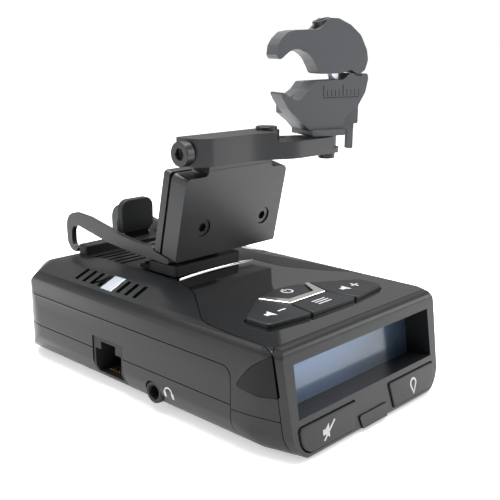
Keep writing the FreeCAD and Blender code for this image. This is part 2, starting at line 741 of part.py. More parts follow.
def make_insides():
    board = new_body("main_board")
    outline = rounded([(-19.5, -30), (20.5, -30), (20.5, 40), (-19.5, 40)])
    extrude(board, "XY", "12.0", "1.6", outline)
    switch_board = new_body("switch_board")
    outline = rounded([(-23, PAD_FRONT + 1.5), (23, PAD_FRONT + 1.5), (23, PAD_Y + 8), (-23, PAD_Y + 8)])
    extrude(switch_board, "XY", "20.6", "1.4", outline)
    switches = []
    for i, (x, y) in enumerate([(0, PAD_Y + 5.5), (0, PAD_Y - 4), (-15, PAD_Y - 2), (15, PAD_Y - 2)]):
        base = box(f"switch_base_{i}", (f"{x - 2.6}", f"{x + 2.6}"), (f"{y - 2.6}", f"{y + 2.6}"), ("22", "23.6"))
        stem = rod(f"switch_stem_{i}", "1.6", "0.7", (f"{x}", f"{y}", "23.6"), V(0, 0, 1))
        switches.append(fused(f"switch_{i}", [base, stem]))
    grouped("tact_switches", switches)
    horn = doc.addObject("Part::Wedge", "horn_form")
    sizes = dict(Xmin=-8, Xmax=8, Zmin=0, Zmax=8, Ymin=0, Ymax=26, X2min=-15, X2max=15, Z2min=0, Z2max=10)
    for name, value in sizes.items():
        setattr(horn, name, value)
    horn.Placement.Base = V(0, 24, 14.0)
    mouth = box("horn_mouth", ("-13.6", "13.6"), ("36", "60"), ("15", "23"))
    minus("horn_antenna", horn, mouth)
    patch = box("patch_form", ("-9", "9"), ("-8", "10"), ("13.7", "17.7"))
    feed = rod("patch_feed", "0.8", "5", ("2", "1", "15"), V(0, 0, 1))
    minus("gps_patch", patch, feed)
    cone = rod("speaker_frame", "10", "4.2", (f"{SPEAKER[0]}", f"{SPEAKER[1]}", "2.2"), V(0, 0, 1))
    magnet = rod("speaker_magnet", "5", "3", (f"{SPEAKER[0]}", f"{SPEAKER[1]}", "6.4"), V(0, 0, 1))
    fused("speaker", [cone, magnet])
    lens = OUTER.copy().cut(envelope(1.5)).common(block(LENS_X, (END - 6, END + 1), LENS_Z))
    shaped("rear_lens", lens)
    box("rating_plate", tuple(map(str, PLATE_X)), tuple(map(str, PLATE_Y)), ("0.1", "0.3"))


def make_sockets():
    form = shaped("body_form", OUTER)
    socket = new_body("modular_blank", y="jack_y", z="jack_z")
    wide = S["jack_wid"] / 2
    high = S["jack_hgt"] / 2
    extrude(socket, "YZ", "-body_wid/2 + 0.3", "jack_dep",
            rounded([(-wide, -high), (wide, -high), (wide, high), (-wide, high)]))
    hollow = rounded([(-wide + 0.9, -high + 0.9), (wide - 0.9, -high + 0.9), (wide - 0.9, high - 3.4),
                      (3.2, high - 3.4), (3.2, high - 1.0), (-3.2, high - 1.0), (-3.2, high - 3.4),
                      (-wide + 0.9, high - 3.4)])
    extrude(socket, "YZ", "-body_wid/2 - 1", "jack_dep", hollow, cut=True)
    trimmed("modular_jack", socket, form)
    contacts = []
    for i in range(6):
        y = f"jack_y + {(i - 2.5) * 1.27}"
        contacts.append(box(f"contact_{i}", ("-body_wid/2 + 3.3", "-body_wid/2 + 12.3"),
                            (f"{y} - 0.25", f"{y} + 0.25"), ("jack_z - 4.7", "jack_z - 4.3")))
    grouped("jack_contacts", contacts)
    at = ("-body_wid/2 + 0.9", "audio_y", "audio_z")
    barrel = rod("audio_barrel", "3.2", "13", at, V(1, 0, 0))
    bore = rod("audio_hole", "audio_bore/2", "12", at, V(1, 0, 0))
    trimmed("audio_jack", minus("audio_blank", barrel, bore), form)
    screws = []
    for i, (x, y) in enumerate(BOSSES):
        head = rod(f"case_head_{i}", "2.4", "1.6", (f"{x}", f"{y}", "2.2"), V(0, 0, 1))
        shank = rod(f"case_shank_{i}", str(SCREW_R), "part_z + 1.5", (f"{x}", f"{y}", "3.8"), V(0, 0, 1))
        screws.append(fused(f"case_screw_{i}", [head, shank]))
    grouped("case_screws", screws)


def make_latch():
    key = new_body("release_button", x="slot_mid", y="latch_y")
    half = S["latch_wid"] / 2
    deep = S["latch_dep"] / 2
    outline = rounded([(-half, -deep, 0.8), (half, -deep, 0.8), (half, deep, 0.8), (-half, deep, 0.8)])
    extrude(key, "XY", "27.8", "latch_top - 27.8", outline)
    top = S["latch_top"]
    round_edges(key, 0.6, lambda e: all(abs(v.Z - top) < 1e-6 for v in e.Vertexes))


# ---- spring bracket and its clamp plates ------------------------------------------------------

PLATE_TURN = (V(1, 0, 0), S["plate_tilt"])
RAIL_LEFT = S["rail_mid"] - S["rail_out"] / 2
RAIL_RIGHT = S["rail_mid"] + S["rail_out"] / 2
SET_SCREWS = (-6.9, 18.1)
SET_V = 9.3
TONGUE_N = S["plate_thk"] + 0.05


def make_shoe():
    shoe = new_body("bracket_shoe", x="slot_mid", y="shoe_front")
    half = S["shoe_wid"] / 2
    block_len = S["shoe_len"]
    outline = rounded([(-half, 0, 1), (half, 0, 1), (half, block_len, 1), (-half, block_len, 1)])
    extrude(shoe, "XY", "shoe_z", "shoe_top - shoe_z", outline)
    foot = rounded([(-half + 2.5, 3.4), (half - 2.5, 3.4), (half - 2.5, 19), (-half + 2.5, 19)])
    extrude(shoe, "XY", "slot_z + 0.3", "shoe_z - slot_z - 0.1", foot)
    for i in range(3):
        y = block_len + 1.6 + 1.9 * i
        rib = rounded([(-half + 3.5, y), (half - 3.5, y), (half - 3.5, y + 0.9), (-half + 3.5, y + 0.9)])
        extrude(shoe, "XY", "shoe_z", "0.7", rib)


def rail_outline():
    foot = S["foot_z"]
    return rounded([
        (4.2, 34.4, 0.6), (19.5, 35.0, 30), (31.9, 36.1, 30), (43.0, 38.2, 12), (51.4, 39.9, 3.2),
        (51.4, 32.0, 2.0), (48.9, 31.6, 0.4), (48.9, foot, 0.4), (54.0, foot, 4.2), (54.3, 43.4, 5.0),
        (42.2, 42.6, 12), (34.7, 41.1, 20), (25.4, 39.3, 20), (17.8, 38.5, 12), (10.7, 38.5, 0.8),
        (10.7, 37.4), (4.2, 36.0, 0.6),
    ])


def make_bracket():
    steel = new_body("bracket_blank")
    extrude(steel, "YZ", "rail_mid - rail_out/2", "rail_thk", rail_outline())
    thick = S["web_thk"]
    web = rounded([(4.6, 34.42), (19.5, 35.02, 30), (31.8, 36.2), (31.8, 36.2 + thick),
                   (19.5, 35.02 + thick, 30), (4.6, 34.42 + thick)])
    extrude(steel, "YZ", "rail_mid - rail_out/2 + 1", "rail_out - 2", web)
    extrude(steel, "YZ", "rail_mid + rail_out/2 - rail_thk", "rail_thk", rail_outline())
    slope = math.radians(S["plate_tilt"])
    bottom = S["plate_z"] - 0.4
    n = TONGUE_N
    thin = S["tongue_thk"] - 0.1

    def up(depth, v):
        return (S["shoe_front"] + depth * math.cos(slope) - v * math.sin(slope),
                S["plate_z"] + depth * math.sin(slope) + v * math.cos(slope))

    strip = rounded([up(n, -1.7), up(n + thin, -1.7), up(n + thin, 21), up(n, 21)])
    extrude(steel, "YZ", "-12", "14.2", strip)
    strip = rounded([up(n, 1), up(n + thin, 1), up(n + thin, 21), up(n, 21)])
    extrude(steel, "YZ", "1", "20", strip)
    extrude(steel, "YZ", "-11.3", "9.4", rounded([(29.6, 36.4), (30.5, 36.4), (30.5, 47.2), (29.6, 47.2)]))
    window = rounded([(-12.6, 20, 1), (0.6, 20, 1), (0.6, 25.5, 1), (-12.6, 25.5, 1)])
    extrude(steel, "XY", "30", "8", window, cut=True)
    holes = new_holes(SET_SCREWS, up)
    minus("spring_bracket", steel, holes)


def new_holes(positions, up):
    """Clearance holes for the set screws, square to the clamp plates."""
    slope = math.radians(S["plate_tilt"])
    bars = []
    for i, x in enumerate(positions):
        y, z = up(-1, SET_V)
        bars.append(rod(f"plate_drill_{i}", "1.6", "12", (f"{x}", f"{y}", f"{z}"),
                        V(0, math.cos(slope), math.sin(slope))))
    return fused("plate_drills", bars)


def plate_outline(rise):
    half = S["plate_wid"] / 2
    mid = S["plate_mid"]
    high = S["plate_hgt"]
    left = S["lug_mid"] - S["lug_wid"] / 2
    right = S["lug_mid"] + S["lug_wid"] / 2
    if not rise:
        return rounded([(mid - half, 0, 0.6), (mid + half, 0, 0.6), (mid + half, high, 1.2), (mid - half, high, 1.2)])
    return rounded([(mid - half, 0, 0.6), (mid + half, 0, 0.6), (mid + half, high, 2.0), (right, high, 1.4),
                    (right, rise, 0.5), (left, rise, 0.5), (left, high, 1.4), (mid - half, high, 2.0)])


def make_plates():
    front = new_body("front_plate", y="shoe_front", z="plate_z", turn=PLATE_TURN)
    extrude(front, "XZ", "0", "plate_thk", plate_outline(S["hinge_v"] + S["lug_r"]))
    hinge_v = S["hinge_v"]
    hinge_n = S["hinge_n"]
    radius = S["lug_r"]
    far = 6.0
    for k in (-1, 1):
        corner = [
            Part.Arc(V(hinge_n + k * radius, hinge_v), V(hinge_n + k * radius * math.sqrt(0.5),
                     hinge_v + radius * math.sqrt(0.5)), V(hinge_n, hinge_v + radius)),
            Part.LineSegment(V(hinge_n, hinge_v + radius), V(hinge_n, hinge_v + far)),
            Part.LineSegment(V(hinge_n, hinge_v + far), V(hinge_n + k * far, hinge_v + far)),
            Part.LineSegment(V(hinge_n + k * far, hinge_v + far), V(hinge_n + k * far, S["plate_hgt"] + 1.6)),
            Part.LineSegment(V(hinge_n + k * far, S["plate_hgt"] + 1.6), V(hinge_n + k * radius, S["plate_hgt"] + 1.6)),
            Part.LineSegment(V(hinge_n + k * radius, S["plate_hgt"] + 1.6), V(hinge_n + k * radius, hinge_v)),
        ]
        extrude(front, "YZ", "-30", "60", corner, cut=True)
    extrude(front, "YZ", "-30", "60", ring(hinge_n, hinge_v, S["tilt_r"] + 0.05), cut=True)
    for x in SET_SCREWS:
        extrude(front, "XZ", "-1", "3.4", ring(x, SET_V, 2.7), cut=True)
        extrude(front, "XZ", "-1", "12", ring(x, SET_V, 1.6), cut=True)
    back = new_body("back_plate", y="shoe_front", z="plate_z", turn=PLATE_TURN)
    extrude(back, "XZ", "plate_thk + tongue_thk", "back_thk", plate_outline(0))
    for x in SET_SCREWS:
        extrude(back, "XZ", "-1", "12", ring(x, SET_V, 1.6), cut=True)


def hexagon(x, y, radius):
    return rounded([(x + radius * math.cos(math.radians(60 * i)), y + radius * math.sin(math.radians(60 * i)))
                    for i in range(6)])


def make_set_screws():
    screws = []
    for i, x in enumerate(SET_SCREWS):
        screw = new_body(f"set_screw_{i}", y="shoe_front", z="plate_z", turn=PLATE_TURN)
        extrude(screw, "XZ", "0.4", "2.0", ring(x, SET_V, 2.6))
        extrude(screw, "XZ", "2.0", "7.4", ring(x, SET_V, 1.5))
        extrude(screw, "XZ", "0", "1.8", hexagon(x, SET_V, 1.4), cut=True)
        screws.append(screw)
    grouped("set_screws", screws)


def make_tab_cap():
    cap = new_body("tab_cap", y="28.8")
    outline = rounded([(-12.9, 39), (-2.1, 39), (-0.5, 40.6), (-0.5, 49.2, 3), (-12.9, 49.2, 3)])
    extrude(cap, "XZ", "0", "2.5", outline)
    round_edges(cap, 0.5, lambda e: all(v.Z > 38 for v in e.Vertexes) and not along(e, V(0, 1, 0))
                and not all(abs(v.Z - 39) < 0.1 for v in e.Vertexes))
    extrude(cap, "XZ", "0.75", "1.0", rounded([(-11.35, 38), (-1.85, 38), (-1.85, 47.25), (-11.35, 47.25)]), cut=True)


# ---- arm ---------------------------------------------------------------------------------------

SLOPE = math.radians(S["plate_tilt"])
HINGE_Y = S["shoe_front"] + S["hinge_n"] * math.cos(SLOPE) - S["hinge_v"] * math.sin(SLOPE)
HINGE_Z = S["plate_z"] + S["hinge_n"] * math.sin(SLOPE) + S["hinge_v"] * math.cos(SLOPE)
PIVOT = (S["pivot_x"], S["pivot_y"])
YAW = math.radians(S["jaw_yaw"])
JAW = (PIVOT[0] - S["jaw_in"] * math.cos(YAW) - S["jaw_aft"] * math.sin(YAW),
       PIVOT[1] - S["jaw_in"] * math.sin(YAW) + S["jaw_aft"] * math.cos(YAW))
ARM_TOP = S["arm_low"] + S["arm_hgt"]
LIP_TOP = S["arm_low"] + S["lip_thk"]


def arm_outline():
    end = S["arm_end"]
    front = S["arm_front"]
    back = S["arm_back"]
    ring_r = S["ring_r"]
    px, py = PIVOT
    nose = py - ring_r
    return rounded([
        (end, back, 1.2), (end, front + 0.2, 6.0), (-2, front, 8), (8, front, 14), (19, nose, 12),
        (px + ring_r, nose, ring_r - 0.05), (px + ring_r, py + ring_r, ring_r - 0.05),
        (px - 6, py + ring_r + 4, 5), (px - 14, back, 6),
    ])


def make_arm():
    arm = new_body("arm")
    extrude(arm, "XY", "arm_low", "arm_hgt", arm_outline())
    step = rounded([(13.6, -40), (70, -40), (70, 40), (21.6, 40), (21.6, HINGE_Y - 3.7, 3.6),
                    (13.6, HINGE_Y - 3.7, 3.0)])
    extrude(arm, "XY", "step_z", "20", step, cut=True)
    lug = S["lug_r"] + S["fit"]
    left = f"{S['lug_mid'] - S['lug_wid'] / 2 - S['fit']}"
    y = HINGE_Y
    z = HINGE_Z
    pocket = rounded([(y - lug, z - 20), (y + 20, z - 20), (y + 20, z + lug), (y - lug, z + lug, 2.4)])
    extrude(arm, "YZ", left, "lug_wid + 2*fit", pocket, cut=True)
    extrude(arm, "XY", f"{LIP_TOP}", "20", ring(PIVOT[0], PIVOT[1], S["barrel_r"] + 0.7), cut=True)
    mouth = rounded([(PIVOT[0] - 1.0, -40), (80, -40), (80, 40), (PIVOT[0] - 1.0, 40)])
    extrude(arm, "XY", f"{LIP_TOP}", "20", mouth, cut=True)
    extrude(arm, "XY", "arm_low - 1", "5", ring(PIVOT[0], PIVOT[1], 1.55), cut=True)
    extrude(arm, "YZ", "-30", "56", ring(y, z, S["tilt_r"] + 0.05), cut=True)
    extrude(arm, "XY", f"{ARM_TOP} - 0.6", "3", ring(17.6, y, 3.35), cut=True)


def make_arm_screws():
    screw = new_body("tilt_screw", y=f"{HINGE_Y}", z=f"{HINGE_Z}")
    extrude(screw, "YZ", "arm_end - 2.8", "2.75", ring(0, 0, 3.5))
    extrude(screw, "YZ", "arm_end - 0.1", "38", ring(0, 0, S["tilt_r"]))
    extrude(screw, "YZ", "arm_end - 3.5", "2.3", hexagon(0, 0, 1.75), cut=True)
    cap = new_body("cap_screw", x="17.6", y=f"{HINGE_Y}")
    extrude(cap, "XY", f"{ARM_TOP} - 0.55", "1.6", ring(0, 0, 3.25))
    extrude(cap, "XY", f"{ARM_TOP} + 0.1", "2", hexagon(0, 0, 1.5), cut=True)
    swivel = new_body("swivel_screw", x="pivot_x", y="pivot_y")
    extrude(swivel, "XY", "arm_low - 1.9", "1.85", ring(0, 0, 2.6))
    extrude(swivel, "XY", "arm_low - 0.1", "6.5", ring(0, 0, 1.5))
    extrude(swivel, "XY", "arm_low - 2.5", "1.7", hexagon(0, 0, 1.3), cut=True)


# ---- jaws --------------------------------------------------------------------------------------

JAW_TURN = (V(0, 0, 1), S["jaw_yaw"])
FRONT_N = "-jaw_dep/2 - 0.1"
MOUTH = (S["mouth_u"], S["mouth_z"])
CLAMP = math.radians(S["clamp_tilt"])
CLAMP_AT = (1.8, 93.0)
CLAMP_N = -3.0


def along_clamp(run, across=0):
    """Point in the jaws' own XZ plane, a distance up the clamp screw and across it."""
    return (CLAMP_AT[0] - run * math.sin(CLAMP) + across * math.cos(CLAMP),
            CLAMP_AT[1] + run * math.cos(CLAMP) + across * math.sin(CLAMP))


def make_lower_jaw():
    jaw = new_body("lower_jaw_blank", x=f"{JAW[0]}", y=f"{JAW[1]}", turn=JAW_TURN)
    front = rounded([
        (-4.7, 84.9, 0.8), (5.6, 85.2, 1.0), (8.1, 87.3, 1.2), (10.0, 86.3, 1.2), (11.5, 86.0, 1.0),
        (14.1, 87.2, 0.7), (14.5, 85.3, 0.8), (13.6, 81.3, 4), (10.8, 76.8, 2.5), (7.9, 75.1, 2),
        (6.1, 73.0, 1.5), (5.6, 70.0), (-5.6, 70.0), (-6.4, 70.6, 0.3), (-7.8, 71.8, 1.5),
        (-10.0, 73.6, 2), (-13.5, 76.7, 3), (-15.6, 79.7, 1.5), (-16.7, 81.9, 0.5), (-15.3, 81.8, 0.5),
        (-13.5, 80.6, 1), (-10.4, 79.1, 2.2), (-8.7, 80.4, 1), (-6.4, 82.6, 1),
    ])
    extrude(jaw, "XZ", FRONT_N, "jaw_thk", front)
    rear = rounded([
        (-4.3, 84.5, 0.8), (5.4, 84.8, 1.0), (10.0, 84.0, 2), (15.3, 80.5, 2), (15.3, 71.1, 0.6),
        (10.2, 71.1, 0.6), (6.0, 71.9, 0.6), (5.2, 69.8), (-5.2, 69.8), (-7.4, 72.2, 1.5),
        (-11.2, 75.1, 0.5), (-11.2, 78.9, 0.3), (-6.2, 82.2, 1),
    ])
    layer = new_body("jaw_back_blank", x=f"{JAW[0]}", y=f"{JAW[1]}", turn=JAW_TURN)
    extrude(layer, "XZ", "jaw_thk - jaw_dep/2 - 0.5", "jaw_dep - jaw_thk + 0.25", rear)
    flange = rounded([(-5.7, 68.5, 0.5), (5.9, 68.5, 0.5), (5.9, 70.4), (-5.7, 70.4)])
    extrude(jaw, "XZ", FRONT_N + " - 0.9", "jaw_dep + 0.4", flange)
    extrude(jaw, "XZ", "0.3", "5.5", rounded([(9.8, 69.4), (14.1, 69.4), (14.1, 71.6), (9.8, 71.6)]))
    extrude(jaw, "XZ", "0.3", "1.6", rounded([(11.9, 63.2, 0.4), (14.0, 63.2, 0.4), (14.0, 70.2), (11.9, 70.2)]))
    extrude(jaw, "XY", f"{LIP_TOP} + 0.1", f"69 - {LIP_TOP}", ring(S["jaw_in"], -S["jaw_aft"], S["barrel_r"]))
    extrude(jaw, "XY", "60", "10.4", ring(S["jaw_in"], -S["jaw_aft"], 1.55), cut=True)
    return fused("lower_jaw_form", [jaw, layer])


def clamp_rod(label, radius, low, high):
    """A round bar along the clamp screw's axis, in the row's own frame."""
    yaw = math.radians(S["jaw_yaw"])
    u, z = along_clamp(low)
    at = (JAW[0] + u * math.cos(yaw) - CLAMP_N * math.sin(yaw),
          JAW[1] + u * math.sin(yaw) + CLAMP_N * math.cos(yaw), z)
    axis = V(-math.sin(CLAMP) * math.cos(yaw), -math.sin(CLAMP) * math.sin(yaw), math.cos(CLAMP))
    return rod(label, radius, f"{high - low}", tuple(map(str, at)), axis)


def mouth_rod(label):
    """The round grip for the mirror stem, through both jaws."""
    yaw = math.radians(S["jaw_yaw"])
    at = (JAW[0] + MOUTH[0] * math.cos(yaw) + 10 * math.sin(yaw),
          JAW[1] + MOUTH[0] * math.sin(yaw) - 10 * math.cos(yaw), MOUTH[1])
    return rod(label, "mouth_r", "20", tuple(map(str, at)), V(-math.sin(yaw), math.cos(yaw), 0))


def make_jaws():
    lower = make_lower_jaw()
    tools = [clamp_rod("lower_bore", "clamp_r + 0.05", -17.5, 0), mouth_rod("lower_mouth")]
    minus("lower_jaw", lower, fused("lower_tools", tools))
    upper = new_body("upper_jaw_blank", x=f"{JAW[0]}", y=f"{JAW[1]}", turn=JAW_TURN)
    outline = rounded([
        (-17.1, 91.1, 0.8), (-17.9, 92.6, 1), (-17.5, 95.4, 2), (-16.2, 97.3, 2), (-14.2, 99.1, 2),
        (-11.5, 99.6, 3), (-3.7, 99.9, 1), (-1.7, 101.6, 0.8), (-0.3, 103.2, 0.8), (3.2, 103.1, 2),
        (7.5, 101.3, 4), (11.3, 98.3, 4), (13.7, 93.9, 4), (14.2, 90.9, 3), (13.2, 87.9, 1.2),
        (11.4, 86.8, 0.8), (10.0, 87.1, 0.8), (8.1, 88.1, 1.2), (6.6, 87.6, 1.0), (3.8, 87.0, 1),
        (-2.6, 87.0, 0.4), (-3.4, 87.3, 0.4), (-4.4, 89.3, 1), (-5.9, 91.3, 2), (-7.7, 93.1, 2),
        (-10.4, 94.2, 2), (-12.1, 94.1, 1), (-13.8, 93.4, 1), (-15.4, 92.0, 1),
    ])
    extrude(upper, "XZ", FRONT_N, "jaw_thk", outline)
    tools = [clamp_rod("upper_bore", "clamp_r + 0.05", -10, 6), clamp_rod("upper_seat", "3.0", 5.6, 16),
             mouth_rod("upper_mouth")]
    minus("upper_jaw", upper, fused("upper_tools", tools))
    head = clamp_rod("clamp_head", "2.75", 5.65, 10.2)
    shank = clamp_rod("clamp_shank", "clamp_r", -17, 5.7)
    socket = clamp_rod("clamp_socket", "1.4", 8.2, 12)
    minus("clamp_screw", fused("clamp_solid", [head, shank]), socket)


# ---- build, check and write ---------------------------------------------------------------------

make_deck_keys()
make_front_keys()
make_cases()
make_deck()
make_bezel()
make_display()
make_insides()
make_sockets()
make_latch()
make_shoe()
make_bracket()
make_plates()
make_set_screws()
make_tab_cap()
make_arm()
make_arm_screws()
make_jaws()
doc.recompute()

NODES = """
lower_case upper_case top_cover gloss_deck front_bezel side_windows display_window display_panel
arc_trim power_trim vent_badges power_button menu_button volume_up_button volume_down_button
mute_button mark_button tact_switches switch_board main_board horn_antenna rear_lens speaker
gps_patch modular_jack jack_contacts audio_jack rating_plate case_screws release_button bracket_shoe
spring_bracket tab_cap front_plate back_plate set_screws arm tilt_screw cap_screw lower_jaw
swivel_screw upper_jaw clamp_screw
""".split()

for obj in doc.Objects:
    if "Invalid" in obj.State or "Error" in obj.State:
        raise RuntimeError(f"{obj.Label} did not build: {obj.State}")

os.makedirs("parts", exist_ok=True)
for name in NODES:
    shape = doc.getObjectsByLabel(name)[0].Shape
    if shape.isNull() or not shape.isValid() or not shape.Solids:
        raise RuntimeError(f"{name} has no valid solid")
    shape.exportStep(f"parts/{name}.step")
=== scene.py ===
import json
from math import cos, radians, sin, tau

import bmesh
import bpy
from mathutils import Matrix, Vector
from mathutils.bvhtree import BVHTree

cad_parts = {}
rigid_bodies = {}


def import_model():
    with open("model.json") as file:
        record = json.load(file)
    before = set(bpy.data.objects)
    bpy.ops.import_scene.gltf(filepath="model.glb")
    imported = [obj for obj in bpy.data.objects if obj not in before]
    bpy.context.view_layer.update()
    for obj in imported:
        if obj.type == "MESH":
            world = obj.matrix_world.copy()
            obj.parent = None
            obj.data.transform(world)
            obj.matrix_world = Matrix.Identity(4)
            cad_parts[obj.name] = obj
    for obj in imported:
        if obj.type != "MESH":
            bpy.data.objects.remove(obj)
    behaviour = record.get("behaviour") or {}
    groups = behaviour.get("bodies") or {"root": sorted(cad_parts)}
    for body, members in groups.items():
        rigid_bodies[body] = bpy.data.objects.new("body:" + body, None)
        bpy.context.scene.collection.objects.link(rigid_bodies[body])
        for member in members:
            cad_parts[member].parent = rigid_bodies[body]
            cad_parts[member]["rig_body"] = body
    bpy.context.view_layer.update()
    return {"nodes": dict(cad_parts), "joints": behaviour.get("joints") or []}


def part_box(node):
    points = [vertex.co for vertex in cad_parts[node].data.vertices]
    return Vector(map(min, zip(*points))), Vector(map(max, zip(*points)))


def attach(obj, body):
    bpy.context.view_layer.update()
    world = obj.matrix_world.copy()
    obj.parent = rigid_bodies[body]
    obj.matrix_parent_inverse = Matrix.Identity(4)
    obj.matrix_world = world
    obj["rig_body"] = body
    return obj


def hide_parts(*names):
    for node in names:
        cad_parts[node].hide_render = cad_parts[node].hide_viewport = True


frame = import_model()
scene = bpy.context.scene


# ---- Case mouldings ---------------------------------------------------------------------------
# Lower case, side band and top cover are injection moulded in charcoal ABS with a fine spark
# eroded texture.  Edges leave the mould with a small radius.  Four screws hold them together.

class Signal:
    """One output of a finish's node tree, used in plain expressions."""

    def __init__(self, finish, socket):
        self.finish = finish
        self.socket = socket

    def maths(self, operation, *values):
        return self.finish.node("ShaderNodeMath", {"operation": operation}, *values)

    def __add__(self, other):
        return self.maths("ADD", self, other)

    def __radd__(self, other):
        return self.maths("ADD", other, self)

    def __sub__(self, other):
        return self.maths("SUBTRACT", self, other)

    def __rsub__(self, other):
        return self.maths("SUBTRACT", other, self)

    def __mul__(self, other):
        return self.maths("MULTIPLY", self, other)

    def __rmul__(self, other):
        return self.maths("MULTIPLY", other, self)

    def __gt__(self, other):
        return self.maths("GREATER_THAN", self, other)


class Finish:
    """A material whose pattern is laid on in the object's own metres."""

    def __init__(self, name, **shader):
        self.material = bpy.data.materials.new(name)
        self.material.use_nodes = True
        self.tree = self.material.node_tree
        self.shader = self.tree.nodes["Principled BSDF"]
        self.place = self.node("ShaderNodeTexCoord", {}, out="Object")
        self.feed(**shader)

    def node(self, kind, settings, *values, out=0, **named):
        made = self.tree.nodes.new(kind)
        for setting, value in settings.items():
            setattr(made, setting, value)
        pairs = list(enumerate(values)) + [(key.replace("_", " "), value) for key, value in named.items()]
        for key, value in pairs:
            self.join(made.inputs[key], value)
        return Signal(self, made.outputs[out])

    def join(self, socket, value):
        if isinstance(value, Signal):
            self.tree.links.new(value.socket, socket)
        else:
            socket.default_value = value

    def feed(self, **sockets):
        for key, value in sockets.items():
            self.join(self.shader.inputs[key.replace("_", " ")], value)
        return self

    def noise(self, scale, detail=2.0, rough=0.5):
        return self.node("ShaderNodeTexNoise", {}, Vector=self.place, Scale=scale, Detail=detail,
                         Roughness=rough)

    def blend_colours(self, mask, low, high):
        made = self.tree.nodes.new("ShaderNodeMix")
        made.data_type = "RGBA"
        self.join(made.inputs[0], mask)
        self.join(made.inputs[6], low)
        self.join(made.inputs[7], high)
        return Signal(self, made.outputs[2])

    def bump(self, height, strength, metres):
        bumped = self.node("ShaderNodeBump", {}, Strength=strength, Distance=metres, Height=height)
        return self.feed(Normal=bumped)

    def coord(self, axis):
        return self.node("ShaderNodeSeparateXYZ", {}, self.place, out=axis)


MM = 0.001
WELD = 2e-6
FLAT = radians(0.6)
CREASE = radians(32)


def grey(value, blue=1.16):
    """A dark neutral leaning a little to blue."""
    return (value, value * (1 + (blue - 1) * 0.4), value * blue, 1.0)


def moulded(name, shade, rough, grain):
    """Textured moulding: pebbled skin, slow unevenness of shine, a trace of dust."""
    finish = Finish(name, IOR=1.46, Specular_IOR_Level=0.27)
    pebble = finish.noise(2600, 2.0)
    drift = finish.noise(28, 3.0)
    dust = finish.noise(900, 1.0) > 0.74
    finish.feed(Base_Color=finish.blend_colours(drift * 0.6 + dust * 0.10, grey(shade), grey(shade * 1.6)),
                Roughness=rough + drift * 0.10 + pebble * 0.06)
    return finish.bump(pebble, grain, 0.00006)


def dressed(node, finish, rounding=0.25, segments=2):
    """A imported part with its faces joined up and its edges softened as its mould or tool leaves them."""
    source = frame["nodes"][node]
    mesh = source.data.copy()
    shape = bmesh.new()
    shape.from_mesh(mesh)
    bmesh.ops.remove_doubles(shape, verts=shape.verts, dist=WELD)
    bmesh.ops.dissolve_limit(shape, angle_limit=FLAT, verts=shape.verts, edges=shape.edges)
    for face in shape.faces:
        face.smooth = True
    shape.to_mesh(mesh)
    shape.free()
    for extra in ("custom_normal", "sharp_edge", "sharp_face"):
        if extra in mesh.attributes:
            mesh.attributes.remove(mesh.attributes[extra])
    mesh.materials.clear()
    mesh.materials.append(finish.material)
    piece = bpy.data.objects.new(node + "_made", mesh)
    scene.collection.objects.link(piece)
    if rounding:
        bevel = piece.modifiers.new("softened", "BEVEL")
        bevel.width = rounding * MM
        bevel.segments = segments
        bevel.limit_method = "ANGLE"
        bevel.angle_limit = CREASE
        bevel.harden_normals = True
        bevel.miter_outer = "MITER_ARC"
    else:
        mesh.set_sharp_from_angle(angle=CREASE)
    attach(piece, source["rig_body"])
    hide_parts(node)
    return piece


case_skin = moulded("case_charcoal", 0.005, 0.25, 0.10)
for name in ("lower_case", "upper_case", "top_cover"):
    dressed(name, case_skin, 0.18)


# ---- Glossy deck ---------------------------------------------------------------------------------
# The keypad deck is polished black acrylic-coated plastic.  It clips in flush with the top cover
# and holds every key on top.  Fine wipe marks and dust show on its shine.

deck_skin = Finish("deck_piano_black", IOR=1.5, Coat_Weight=0.25, Coat_Roughness=0.05)
wipe = deck_skin.noise(60, 4.0, 0.6)
speck = deck_skin.noise(2300, 0.0) > 0.88
deck_skin.feed(Base_Color=deck_skin.blend_colours(speck, grey(0.005), grey(0.018)),
               Roughness=0.07 + wipe * 0.07 + speck * 0.08)
deck_skin.bump(wipe, 0.05, 0.0001)
dressed("gloss_deck", deck_skin, 0.2)


# ---- Front bezel ---------------------------------------------------------------------------------
# One satin moulding frames the display and carries its tunnel.  It is smoother than the case and
# screws on from behind, leaving a thin line all round.

bezel_skin = moulded("bezel_satin", 0.007, 0.24, 0.06)
dressed("front_bezel", bezel_skin, 0.45, 3)


# ---- Display -------------------------------------------------------------------------------------
# A tinted lens closes the tunnel.  Its colour is painted lighter and made to glow slate blue, a painted
# glow strongest at the top left and falling away toward the right and the bottom.

lens_skin = Finish("display_lens", IOR=1.45, Base_Color=(0.01, 0.014, 0.02, 1), Roughness=0.08)
across = lens_skin.coord("X")
upward = lens_skin.coord("Z")
painted_glow_across = lens_skin.node("ShaderNodeMapRange", {"interpolation_type": "SMOOTHSTEP"}, across,
                      From_Min=0.030, From_Max=-0.012, To_Min=0.12, To_Max=1.0)
lift = lens_skin.node("ShaderNodeMapRange", {"interpolation_type": "SMOOTHSTEP"}, upward,
                      From_Min=0.008, From_Max=0.022, To_Min=0.35, To_Max=1.0)
haze = lens_skin.noise(120, 3.0)
# painted glow: lens colour and emission are lighter at the top left, fading to the right and downward
painted_glow = painted_glow_across * lift
lens_skin.feed(Base_Color=lens_skin.blend_colours(painted_glow, (0.008, 0.01, 0.014, 1), (0.07, 0.12, 0.20, 1)),
               Emission_Color=lens_skin.blend_colours(painted_glow, (0.0, 0.0, 0.0, 1), (0.115, 0.175, 0.30, 1)),
               Emission_Strength=0.42, Roughness=0.10 + haze * 0.08)
dressed("display_window", lens_skin, 0.0)

panel_skin = moulded("display_panel_black", 0.02, 0.5, 0.1)
dressed("display_panel", panel_skin, 0.0)
